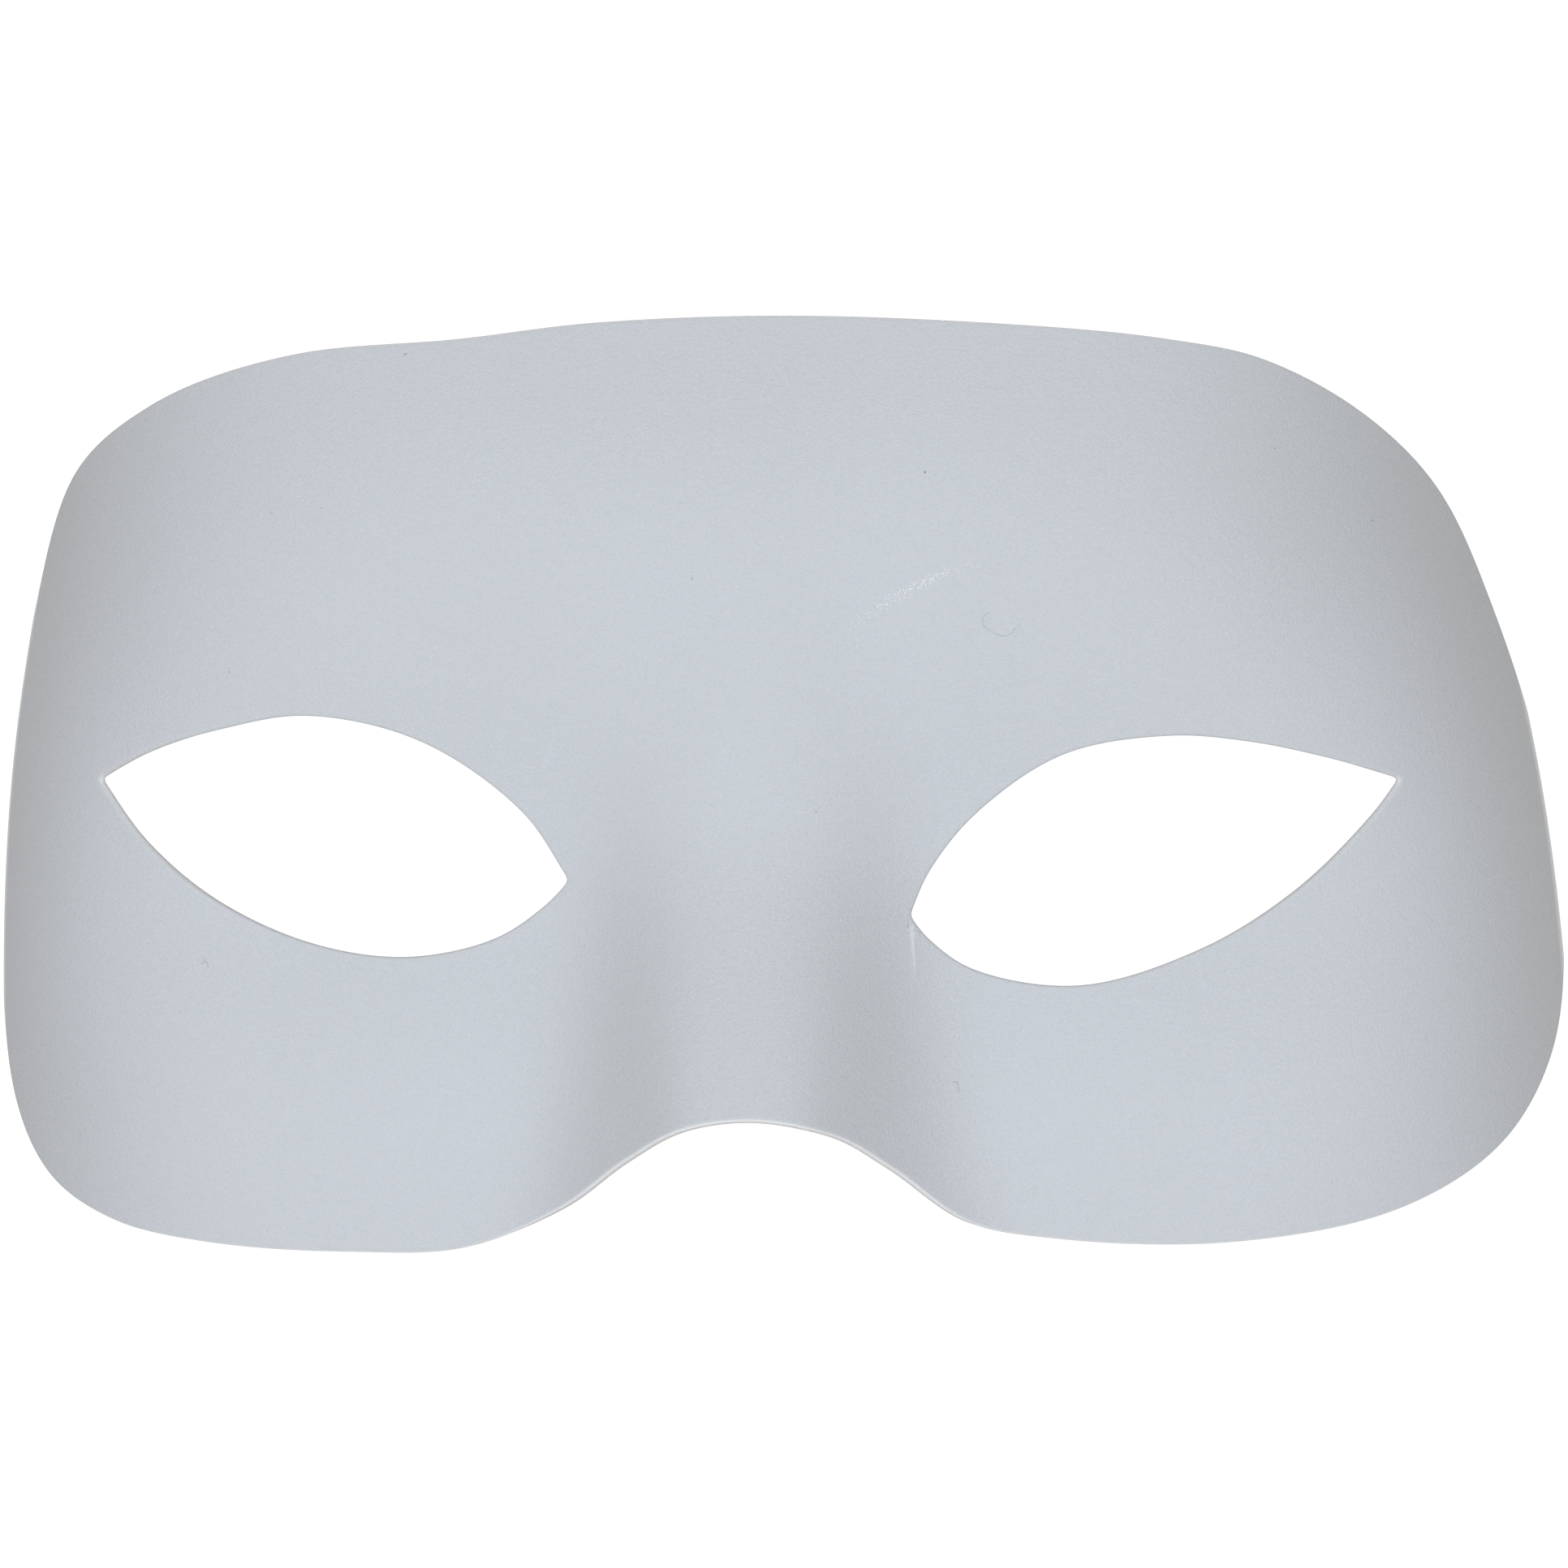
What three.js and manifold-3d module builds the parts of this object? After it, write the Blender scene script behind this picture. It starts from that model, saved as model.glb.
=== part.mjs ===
// Half mask of thin white plastic, lying face up on its two side rims.
// Millimetres. X runs to the viewer's right, Y towards the forehead edge, Z out of the face.
// A flat sheet is punched with the outline and the eye holes, then pressed over the form of the face.

import * as THREE from 'three';
import { mergeVertices } from 'three/addons/utils/BufferGeometryUtils.js';
import Module from 'manifold-3d';

// Sheet
const SHEET_THICKNESS = 0.8;
const SHEET_SIZE = new THREE.Vector2( 190, 112 );
const CELLS_ACROSS = 74;
const CELLS_ALONG = 34;
const CURVE_STEPS = 4;
const PUNCH_DEPTH = 6 * SHEET_THICKNESS;
const NORMAL_STEP = 0.05;
const WELD_DISTANCE = 0.0001;
const LEVELLING_DEPTH = 20;
const PLASTIC_COLOUR = 0xc9ced6;
const PLASTIC_ROUGHNESS = 0.45;

// Middle of the finished mask in the plan of its outline, which becomes the origin
const MIDDLE = new THREE.Vector2( 0.12, - 0.4 );

// Face: a broad front that falls away towards the temples
const FRONT_HEIGHT = 35.8;
const FRONT_TILT = 0.071;
const FOREHEAD_BEND = 0.0028;
const CHEEK_BEND = 0.0015;
const TEMPLE_AT = 60;
const TEMPLE_DROP = 3.1;

// Brow ridge and the hollow round the eyes
const BROW = { rise: 2.9, at: 32, spread: 16.4 };
const SOCKET = { depth: 6.1, at: - 9.85, spread: 18.7, inner: 14, blend: 4 };

// Side walls, steeper and further in towards the forehead, slightly bowed out, leaning a little to the
// left at the forehead
const WALL_SLOPE = 2.7;
const WALL_STEEPENING = 0.0152;
const WALL_BOW = 0.016;
const WALL_FOOT = { halfWidth: 88, taper: 0.06, bow: 0.00093 };
const WALL_LEAN = 0.045;
const WIDEST_AT = - 17;

// How softly the front turns into the walls: tight at the cheeks, wide at the temples, and growing
// more slowly close to the forehead edge
const TURN = { softness: 9.75, growth: 0.6, from: - 6.9, blend: 6 };
const TURN_CHECK = { loss: 0.48, from: 32, blend: 4 };

// Nose: a round ridge that rises towards the lower edge, with soft creases at its foot
const NOSE = { rise: 0.467, from: - 4.4, blend: 1.26, middle: 0.43 };
const FLANK = { slope: 1.127, halfWidth: 9.97, spread: 0.3, rounding: 5.13 };
const NOSE_TOP = { softness: 4.37, loss: 0.098, least: 0.8 };
const NOSE_CREASE_SOFTNESS = 3.31;

// Outline of the mask seen from the front, from the left side clockwise over the forehead
const OUTLINE = [
	[ - 88, - 19.6 ], [ - 86.8, 0.7 ], [ - 84.3, 18.9 ], [ - 78.9, 34.2 ], [ - 67.3, 41.4 ],
	[ - 49.8, 46.1 ], [ - 31.2, 47.4 ], [ - 16.4, 49 ], [ 4.3, 49.6 ], [ 28.1, 48.6 ],
	[ 44.3, 47.2 ], [ 54.7, 45.3 ], [ 65.9, 39.7 ], [ 73.8, 32.3 ], [ 80, 19.4 ],
	[ 85.8, 0.6 ], [ 87.9, - 19.1 ], [ 86.1, - 30.1 ], [ 80.5, - 38.8 ], [ 69.4, - 45.3 ],
	[ 51.3, - 48.7 ], [ 32.4, - 48.3 ], [ 23.5, - 46.4 ], [ 15.8, - 40.4 ], [ 10.2, - 36.7 ],
	[ 2.4, - 34.9 ], [ - 5.8, - 35.9 ], [ - 12.5, - 39.6 ], [ - 19.9, - 45 ], [ - 30.7, - 49.7 ],
	[ - 43.7, - 50.4 ], [ - 60, - 49.7 ], [ - 71.6, - 47.7 ], [ - 80.4, - 43.2 ], [ - 85.7, - 35.2 ],
];

// Eye holes: an upper and a lower lid that meet in two corners
const LEFT_EYE = {
	upper: [ [ - 72.5, 0.6 ], [ - 66.1, 3.4 ], [ - 57.3, 5.8 ], [ - 47.1, 7.2 ],
		[ - 34.9, 4.4 ], [ - 24.5, - 2.9 ], [ - 19.4, - 10.3 ] ],
	lower: [ [ - 72.5, 0.6 ], [ - 66.7, - 6.3 ], [ - 58.7, - 12.4 ], [ - 47.9, - 17 ],
		[ - 37.1, - 18.5 ], [ - 27.5, - 16.5 ], [ - 22, - 12.9 ], [ - 19.4, - 10.3 ] ],
};
const RIGHT_EYE = {
	upper: [ [ 69.3, 0.6 ], [ 61.5, 2.7 ], [ 53, 4.4 ], [ 44.4, 5 ],
		[ 33.3, 3 ], [ 24, - 3.3 ], [ 19.2, - 9.3 ], [ 17.2, - 13.9 ] ],
	lower: [ [ 69.3, 0.6 ], [ 66.2, - 3.4 ], [ 58.2, - 11.1 ], [ 47.9, - 17.4 ],
		[ 35, - 21.3 ], [ 23.8, - 19.6 ], [ 19.2, - 16.4 ], [ 17.2, - 13.9 ] ],
};

// A smooth ramp that is 0 below zero and rises as t above it
function softRamp( t, softness ) {

	const u = t / softness;
	return softness * ( Math.max( u, 0 ) + Math.log1p( Math.exp( - Math.abs( u ) ) ) );

}

// The lower of two heights, with the edge between them rounded
function softLower( a, b, softness ) {

	return a - softRamp( a - b, softness );

}

function bell( t, spread ) {

	return Math.exp( - t * t / ( spread * spread ) );

}

function frontHeight( x, y ) {

	const bend = y > 0 ? FOREHEAD_BEND : CHEEK_BEND;
	const face = FRONT_HEIGHT + FRONT_TILT * y - bend * y * y - TEMPLE_DROP * ( x / TEMPLE_AT ) ** 4;
	const brow = BROW.rise * bell( y - BROW.at, BROW.spread );
	const besideNose = 1 / ( 1 + Math.exp( ( SOCKET.inner - Math.abs( x ) ) / SOCKET.blend ) );
	const socket = SOCKET.depth * bell( y - SOCKET.at, SOCKET.spread ) * besideNose;
	return face + brow - socket;

}

function wallHeight( x, y ) {

	const slope = WALL_SLOPE + WALL_STEEPENING * y;
	const foot = WALL_FOOT.halfWidth - WALL_FOOT.taper * y - WALL_FOOT.bow * y * y;
	const inside = foot - Math.abs( x + WALL_LEAN * ( y - WIDEST_AT ) );
	return slope * inside - WALL_BOW * Math.max( inside, 0 ) ** 2;

}

function noseHeight( x, y ) {

	const along = softRamp( NOSE.from - y, NOSE.blend );
	const aside = Math.hypot( x - NOSE.middle, FLANK.rounding );
	const flank = FLANK.slope * ( FLANK.halfWidth - FLANK.spread * y - aside );
	const softness = Math.max( NOSE_TOP.softness - NOSE_TOP.loss * along, NOSE_TOP.least );
	return softRamp( softLower( NOSE.rise * along, flank, softness ), NOSE_CREASE_SOFTNESS );

}

// Height of the outer surface over the plane of the side rims
function faceHeight( x, y ) {

	const growth = TURN.growth * softRamp( y - TURN.from, TURN.blend );
	const loss = TURN_CHECK.loss * softRamp( y - TURN_CHECK.from, TURN_CHECK.blend );
	const softness = TURN.softness + growth - loss;
	return softLower( frontHeight( x, y ), wallHeight( x, y ), softness ) + noseHeight( x, y );

}

function faceNormal( x, y ) {

	const h = NORMAL_STEP;
	const slopeX = ( faceHeight( x + h, y ) - faceHeight( x - h, y ) ) / ( 2 * h );
	const slopeY = ( faceHeight( x, y + h ) - faceHeight( x, y - h ) ) / ( 2 * h );
	return new THREE.Vector3( - slopeX, - slopeY, 1 ).normalize();

}

// Lines across the sheet at equal steps along the pressed section, so steep walls get as many as the front
function evenLines( count ) {

	const reach = SHEET_SIZE.x / 2;
	const step = 0.1;
	const lengths = [ 0 ];
	for ( let x = - reach; x < reach - step / 2; x += step ) {

		const rise = faceHeight( x + step, WIDEST_AT ) - faceHeight( x, WIDEST_AT );
		lengths.push( lengths.at( - 1 ) + Math.hypot( step, rise ) );

	}

	const lines = [];
	let at = 0;
	for ( let i = 0; i <= count; i ++ ) {

		const wanted = lengths.at( - 1 ) * i / count;
		while ( at < lengths.length - 2 && lengths[ at + 1 ] < wanted ) at ++;
		const part = ( wanted - lengths[ at ] ) / ( lengths[ at + 1 ] - lengths[ at ] );
		lines.push( - reach + step * ( at + part ) );

	}

	return lines;

}

function curvePoints( anchors, closed ) {

	const points = anchors.map( ( [ x, y ] ) => new THREE.Vector3( x, y, 0 ) );
	const curve = new THREE.CatmullRomCurve3( points, closed, 'centripetal' );
	const segments = closed ? points.length : points.length - 1;
	const along = curve.getPoints( segments * CURVE_STEPS ).map( ( p ) => new THREE.Vector2( p.x, p.y ) );
	if ( closed ) along.pop();
	return along;

}

function eyePoints( eye ) {

	const upper = curvePoints( eye.upper, false );
	const lower = curvePoints( eye.lower, false );
	return upper.concat( lower.reverse().slice( 1, - 1 ) );

}

// A punch: the outline as a prism that reaches past both faces of the flat sheet
function punch( points ) {

	const options = { depth: PUNCH_DEPTH, bevelEnabled: false };
	const prism = new THREE.ExtrudeGeometry( new THREE.Shape( points ), options );
	return prism.translate( 0, 0, - PUNCH_DEPTH / 2 );

}

const wasm = await Module();
wasm.setup();

// A closed geometry as a solid. With keepLines every triangle counts as a face of its own.
function toSolid( geometry, keepLines = false ) {

	const bare = geometry.clone();
	bare.deleteAttribute( 'normal' );
	bare.deleteAttribute( 'uv' );
	const merged = mergeVertices( bare, WELD_DISTANCE );
	const triVerts = Uint32Array.from( merged.index.array );
	const options = { numProp: 3, vertProperties: merged.attributes.position.array, triVerts };
	if ( keepLines ) options.faceID = Uint32Array.from( { length: triVerts.length / 3 }, ( _, i ) => i );
	return new wasm.Manifold( new wasm.Mesh( options ) );

}

function toGeometry( solid ) {

	const mesh = solid.getMesh();
	const geometry = new THREE.BufferGeometry();
	geometry.setAttribute( 'position', new THREE.BufferAttribute( mesh.vertProperties, 3 ) );
	geometry.setIndex( new THREE.BufferAttribute( mesh.triVerts, 1 ) );
	return geometry;

}

// The flat sheet, its outer face at z = 0 and its inner face one thickness below
function flatSheet() {

	const { x: width, y: length } = SHEET_SIZE;
	const sheet = new THREE.BoxGeometry( width, length, SHEET_THICKNESS, CELLS_ACROSS, CELLS_ALONG, 1 );
	const lines = evenLines( CELLS_ACROSS );
	const position = sheet.attributes.position;
	for ( let i = 0; i < position.count; i ++ ) {

		const line = Math.round( ( position.getX( i ) / width + 0.5 ) * CELLS_ACROSS );
		position.setX( i, lines[ line ] );
		position.setZ( i, position.getZ( i ) - SHEET_THICKNESS / 2 );

	}

	return sheet;

}

function punchedSheet() {

	const outline = toSolid( punch( curvePoints( OUTLINE, true ) ) );
	const leftEye = toSolid( punch( eyePoints( LEFT_EYE ) ) );
	const rightEye = toSolid( punch( eyePoints( RIGHT_EYE ) ) );
	const blank = toSolid( flatSheet(), true ).intersect( outline );
	return toGeometry( blank.subtract( leftEye ).subtract( rightEye ) );

}

// Each point of the flat sheet goes to its place on the face, its depth measured square to the surface
function pressOverFace( geometry ) {

	const position = geometry.attributes.position;
	for ( let i = 0; i < position.count; i ++ ) {

		const x = position.getX( i );
		const y = position.getY( i );
		const place = new THREE.Vector3( x, y, faceHeight( x, y ) );
		place.addScaledVector( faceNormal( x, y ), position.getZ( i ) );
		position.setXYZ( i, place.x, place.y, place.z );

	}

	return geometry;

}

// The side rims are cut level, so that the mask lies flat on them
function levelRims( geometry ) {

	const below = new THREE.BoxGeometry( 2 * SHEET_SIZE.x, 2 * SHEET_SIZE.y, LEVELLING_DEPTH );
	below.translate( 0, 0, - LEVELLING_DEPTH / 2 );
	return toGeometry( toSolid( geometry, true ).subtract( toSolid( below ) ) );

}

const finish = { color: PLASTIC_COLOUR, roughness: PLASTIC_ROUGHNESS };
const whitePlastic = new THREE.MeshStandardMaterial( finish );

const shell = levelRims( pressOverFace( punchedSheet() ) );
shell.translate( - MIDDLE.x, - MIDDLE.y, 0 );
shell.computeVertexNormals();

const maskShell = new THREE.Mesh( shell, whitePlastic );
maskShell.name = 'mask_shell';

const mask = new THREE.Group();
mask.add( maskShell );

export default mask;
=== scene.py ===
"""Half mask of thin white plastic, lying face up on its two side rims.

A flat sheet is punched with the outline and the eye holes. A node tree then presses it over the
form of the face, and its side rims are cut level. A few specks of dust and loose fibres lie on it.
Lengths are in metres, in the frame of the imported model: X to the viewer's right, Y towards the
forehead edge, Z out of the face. The tables of points below are in millimetres.
"""

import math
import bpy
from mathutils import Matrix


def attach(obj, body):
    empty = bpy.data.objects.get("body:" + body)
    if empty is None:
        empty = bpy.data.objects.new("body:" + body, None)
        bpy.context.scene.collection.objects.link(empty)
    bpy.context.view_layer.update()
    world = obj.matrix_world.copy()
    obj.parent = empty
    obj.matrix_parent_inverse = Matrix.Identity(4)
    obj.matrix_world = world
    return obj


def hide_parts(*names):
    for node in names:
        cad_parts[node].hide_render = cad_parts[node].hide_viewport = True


bl_info = {
    "name": "Half Mask",
    "version": (1, 0, 0),
    "blender": (4, 5, 0),
    "location": "3D View > Sidebar > Half Mask",
    "description": "Builds a plain moulded half mask and the studio round it",
    "category": "Mesh",
}

import bmesh
import bpy
import numpy as np
from bpy.props import FloatProperty, FloatVectorProperty, PointerProperty
from mathutils import Vector
from mathutils.geometry import delaunay_2d_cdt
from mathutils.kdtree import KDTree

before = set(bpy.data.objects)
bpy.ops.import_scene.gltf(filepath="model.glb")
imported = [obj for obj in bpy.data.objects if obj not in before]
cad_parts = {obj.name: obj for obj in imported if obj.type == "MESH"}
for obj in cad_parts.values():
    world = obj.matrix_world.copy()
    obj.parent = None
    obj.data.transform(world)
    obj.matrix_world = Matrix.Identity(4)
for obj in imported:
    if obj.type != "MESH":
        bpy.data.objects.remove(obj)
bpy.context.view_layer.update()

MM = 0.001

# Middle of the finished mask in the plan of its outline, which is the origin of the frame
MIDDLE = (0.12, -0.4)

# Outline of the mask seen from the front, from the left side clockwise over the forehead
OUTLINE = [
    (-88, -19.6), (-86.8, 0.7), (-84.3, 18.9), (-78.9, 34.2), (-67.3, 41.4),
    (-49.8, 46.1), (-31.2, 47.4), (-16.4, 49), (4.3, 49.6), (28.1, 48.6),
    (44.3, 47.2), (54.7, 45.3), (65.9, 39.7), (73.8, 32.3), (80, 19.4),
    (85.8, 0.6), (87.9, -19.1), (86.1, -30.1), (80.5, -38.8), (69.4, -45.3),
    (51.3, -48.7), (32.4, -48.3), (23.5, -46.4), (15.8, -40.4), (10.2, -36.7),
    (2.4, -34.9), (-5.8, -35.9), (-12.5, -39.6), (-19.9, -45), (-30.7, -49.7),
    (-43.7, -50.4), (-60, -49.7), (-71.6, -47.7), (-80.4, -43.2), (-85.7, -35.2),
]

# Eye holes: an upper and a lower lid that meet in two corners
LEFT_EYE = {
    "upper": [(-72.5, 0.6), (-66.1, 3.4), (-57.3, 5.8), (-47.1, 7.2),
              (-34.9, 4.4), (-24.5, -2.9), (-19.4, -10.3)],
    "lower": [(-72.5, 0.6), (-66.7, -6.3), (-58.7, -12.4), (-47.9, -17),
              (-37.1, -18.5), (-27.5, -16.5), (-22, -12.9), (-19.4, -10.3)],
}
RIGHT_EYE = {
    "upper": [(69.3, 0.6), (61.5, 2.7), (53, 4.4), (44.4, 5),
              (33.3, 3), (24, -3.3), (19.2, -9.3), (17.2, -13.9)],
    "lower": [(69.3, 0.6), (66.2, -3.4), (58.2, -11.1), (47.9, -17.4),
              (35, -21.3), (23.8, -19.6), (19.2, -16.4), (17.2, -13.9)],
}

# The sheet's mesh: the distance between points on its outer face, on its inner face, along its
# edges and round the stress mark, and the width of the even strip that runs along the edges of
# each face
OUTER_STEP = 0.6
INNER_STEP = 1.25
EDGE_STEP = 0.4
FINE_STEP = 0.2
OUTER_BAND = 0.62
INNER_BAND = 0.5

# How often the corners of the edges are eased, and in how many steps the cut edges are rounded
CORNER_PASSES = 9
OUTER_ROUNDING_STEPS = 4
INNER_ROUNDING_STEPS = 2

# The inner points of a face keep this part of its step clear of its edges
EDGE_CLEARANCE = 0.45

# Two lines of the flat sheet that come closer than this count as crossing
CROSSING_DISTANCE = 1e-7

# The cut plastic is a little whiter in itself and is painted lighter still, as painted light for
# what the thin sheet lets through from the bright floor: how far that reaches from the cut, and
# how strong it is
OUTLINE_LIT_CUT = (0.37, 1.0)
EYE_LIT_CUT = (0.1, 0.85)

# The side walls stand steep, so across them the sheet is divided as if it lay unrolled: how much
# longer the walls are, where they start, how softly, and the table that leads back to the sheet
WALL_STRETCH = 1.5
WALL_FROM = 74
WALL_BLEND = 2.5
ROLLED_REACH = 120
ROLLED_STEP = 0.05

# Over how far the slope of the face is taken, and how close to the level cut a point moves onto it
SLOPE_STEP = 0.1
LEVEL_REACH = 0.01

# Dust on the outer face: x, y and width
SPECKS = [
    (19.0, 32.65, 0.23), (66.1, 28.25, 0.2), (55.6, 35.6, 0.15), (-55.9, 12.0, 0.15),
    (-5.4, 21.5, 0.16), (-45.33, 29.3, 0.12), (-51.13, 28.9, 0.13), (7.53, -2.9, 0.15),
    (-3.4, -2.25, 0.08), (-25.72, 35.4, 0.09),
]

# Loose fibres on the outer face: how thick each is against the fibre radius, and its run of points
FIBRES = [
    (0.9, [(16.97, -14.72), (16.94, -14.96), (16.87, -15.21)]),
    (0.4, [(25.86, 17.98), (25.3, 17.72), (25.03, 17.26), (25.08, 16.71), (25.38, 16.35),
           (25.89, 16.01), (26.9, 15.55), (27.49, 15.52), (28.05, 15.82), (28.43, 16.28),
           (28.99, 16.64)]),
    (0.6, [(-59.89, -19.47), (-59.49, -19.14), (-59.22, -19.38), (-59.09, -19.8)]),
    (0.4, [(-59.78, -18.67), (-59.54, -18.81), (-59.44, -19.12)]),
    (0.55, [(21.74, -31.43), (22.18, -31.52), (22.25, -32.06), (22.3, -32.66)]),
    (1.2, [(-36.8, 45.7), (-36.65, 45.78), (-36.48, 45.82)]),
]

# Places painted with tiny bright flecks that stand in for glints of light on the pebble: a run of
# points, its half width and how strongly it is painted
PAINTED_GLINT_RUNS = [
    ([(11.6, 16.5), (13.8, 18.2), (15.6, 19.4), (18.2, 20.7), (21.2, 22.2), (24.6, 23.2)],
     0.9, 1.15),
    ([(4.6, 7.6), (5.0, 6.5), (5.3, 4.3)], 0.7, 0.7),
    ([(-2.2, 4.2), (-2.0, 3.5), (-1.4, 1.4)], 0.7, 0.7),
    ([(-11.4, 21.8), (-8.7, 20.2)], 1.0, 0.6),
]

# What the ends of a place of painted glints lose of its strength
PAINTED_GLINT_LOSS = 0.4

# Stress mark that runs down from the inner corner of the right eye, the half width of its whitened
# line at the top and what that loses by the foot, and the box round it with the finest triangles
CREASE = ((17.29, -14.94), (17.75, -20.75))
WHITENED_WIDTH = 0.17
WHITENED_LOSS = 0.08
CREASE_BOX = ((15.2, -24.5), (19.8, -13.0))

# A speck of dust: a ball of width 1 with dents this wide apart and this deep
SPECK_DENTS_PER_WIDTH = 2.2
SPECK_DENT = 0.7
SPECK_DIVISIONS = 2
DUST_SEED = 7

# A fibre: the distance between its points and the number of its sides
FIBRE_STEP = 0.15
FIBRE_SIDES = 6

# Clouding of the plastic's colour: its size and its darkest and lightest shade
CLOUD_SIZE = 38
CLOUD_DARK = (0.985, 0.99, 0.985)
CLOUD_LIGHT = (1.012, 1.01, 1.02)

# Speckle of the plastic: its size and how dark it is
SPECKLE_SIZE = 0.18
SPECKLE_DEPTH = 0.055

# The whitened stress mark against the plastic, and the heights between which the level rims are
# painted lighter, as painted light like that on the cut edges
WHITENED_SHADE = 1.2
LIT_RIM_HEIGHTS = (0.1, 1.0)

# Which part of the kept nearness to the cut shows as painted light on the plastic
LIT_CUT_RANGE = (0.2, 0.95)

# Painted glints as tiny bright flecks: their spacing, how large they get against it, how soft
# their edges are, and their colour
GLINT_SPACING = 0.26
GLINT_REACH = 0.34
GLINT_EDGE = 0.12
PAINTED_GLINT_COLOUR = (0.85, 0.88, 0.92)

# Gloss of the plastic and how deep light goes into it
GLOSS_PATCHES = 2.5
ROUGHNESS = (0.48, 0.54)
SPECULAR = 0.35
LIGHT_DEPTH = 1.2
LIGHT_DEPTH_BY_COLOUR = (1.0, 0.95, 0.85)
LIGHT_SHARE = 0.3

# Pebble of the plastic, coarse and fine: size and depth
PEBBLE = (0.34, 0.055)
FINE_PEBBLE = (0.16, 0.03)

# Dust: size of its mottling, its darkest and lightest shade, its roughness, and the size and depth
# of its grain
DUST_MOTTLE = 0.2
DUST_SHADES = (0.75, 1.25)
DUST_ROUGHNESS = 0.9
DUST_GRAIN = (0.08, 0.02)
DUST_GRAIN_STRENGTH = 0.6

# Studio: the floor without its light, the spread and direction of the soft light, the surround as
# the camera sees it, and the camera's lens, its sensor, how near and far it sees, and its aim
FLOOR_COLOUR = (0.02, 0.02, 0.02)
LIGHT_SPREAD = 80
LIGHT_FROM = (-0.029, -0.085, 1)
SURROUND_SEEN = (0.93, 0.93, 0.92)
LENS = 119.3
SENSOR_WIDTH = 36
CAMERA_RANGE = (10, 50000)
CAMERA_AIM = (3.0, 0, 22)


def length(name, millimetres, description):
    """A size in metres with its default given in millimetres."""
    return FloatProperty(
        name=name,
        description=description,
        default=millimetres * MM,
        unit="LENGTH",
        subtype="DISTANCE",
        precision=5,
    )


def ratio(name, value, description):
    """A plain number, such as a slope."""
    return FloatProperty(name=name, description=description, default=value, precision=4)


def per_metre(name, per_millimetre, description):
    """A bend or a change of slope, kept per metre, with its default given per millimetre."""
    return ratio(name, per_millimetre / MM, description)


def tint(name, value, description, most=1):
    """A colour, or the colour and strength of a light."""
    return FloatVectorProperty(
        name=name, description=description, default=value, subtype="COLOR", min=0, max=most
    )


class HalfMaskForm(bpy.types.PropertyGroup):
    """Sizes of the form that the sheet is pressed over."""

    front_height: length("Front height", 35.8, "Height of the front over the side rims")
    front_tilt: ratio("Front tilt", 0.071, "Rise of the front towards the forehead")
    forehead_bend: per_metre("Forehead bend", 0.0028, "How the front falls away upwards")
    cheek_bend: per_metre("Cheek bend", 0.0015, "How the front falls away downwards")
    temple_at: length("Temple at", 60, "Distance of the temples from the middle")
    temple_drop: length("Temple drop", 3.1, "How far the front has fallen at the temples")
    brow_rise: length("Brow rise", 2.9, "Height of the brow ridge")
    brow_at: length("Brow at", 32, "Place of the brow ridge towards the forehead")
    brow_spread: length("Brow spread", 16.4, "Half width of the brow ridge")
    socket_depth: length("Socket depth", 6.1, "Depth of the hollow round the eyes")
    socket_at: length("Socket at", -9.85, "Place of the hollow round the eyes")
    socket_spread: length("Socket spread", 18.7, "Half width of the hollow round the eyes")
    socket_inner: length("Socket inner end", 14, "Where the hollow starts beside the nose")
    socket_blend: length("Socket blend", 4, "How softly the hollow starts")
    wall_slope: ratio("Wall slope", 2.7, "Slope of the side walls at their feet")
    wall_steepening: per_metre("Wall steepening", 0.0152, "Gain in slope upwards")
    wall_bow: per_metre("Wall bow", 0.016, "How the walls bow out")
    foot_half_width: length("Foot half width", 88, "Half width at the feet of the walls")
    foot_taper: ratio("Foot taper", 0.06, "How the feet draw in upwards")
    foot_bow: per_metre("Foot bow", 0.00093, "How the feet curve in at both ends")
    wall_lean: ratio("Wall lean", 0.045, "How the walls lean to the left upwards")
    widest_at: length("Widest at", -17, "Where the mask is widest")
    turn_softness: length("Turn softness", 9.75, "Rounding between front and wall, low down")
    turn_growth: ratio("Turn growth", 0.6, "How the rounding grows upwards")
    turn_from: length("Turn from", -6.9, "Where the rounding starts to grow")
    turn_blend: length("Turn blend", 6, "How softly the rounding starts to grow")
    check_loss: ratio("Turn check", 0.48, "How much more slowly it grows by the forehead edge")
    check_from: length("Turn check from", 32, "Where the rounding starts to grow more slowly")
    check_blend: length("Turn check blend", 4, "How softly the slower growth starts")
    nose_rise: ratio("Nose rise", 0.467, "Slope of the ridge of the nose")
    nose_from: length("Nose from", -4.4, "Where the nose starts")
    nose_blend: length("Nose blend", 1.26, "How softly the nose starts")
    nose_middle: length("Nose middle", 0.43, "Place of the ridge of the nose")
    flank_slope: ratio("Flank slope", 1.127, "Slope of the sides of the nose")
    flank_half_width: length("Flank half width", 9.97, "Half width of the nose")
    flank_spread: ratio("Flank spread", 0.3, "How the nose widens downwards")
    flank_rounding: length("Flank rounding", 5.13, "How round the ridge of the nose is")
    top_softness: length("Nose top softness", 4.37, "Rounding of the top of the nose at its start")
    top_loss: ratio("Nose top loss", 0.098, "How that rounding shrinks downwards")
    top_least: length("Nose top least", 0.8, "The least rounding of the top of the nose")
    nose_crease: length("Nose crease softness", 3.31, "Rounding of the creases by the nose")


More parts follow.
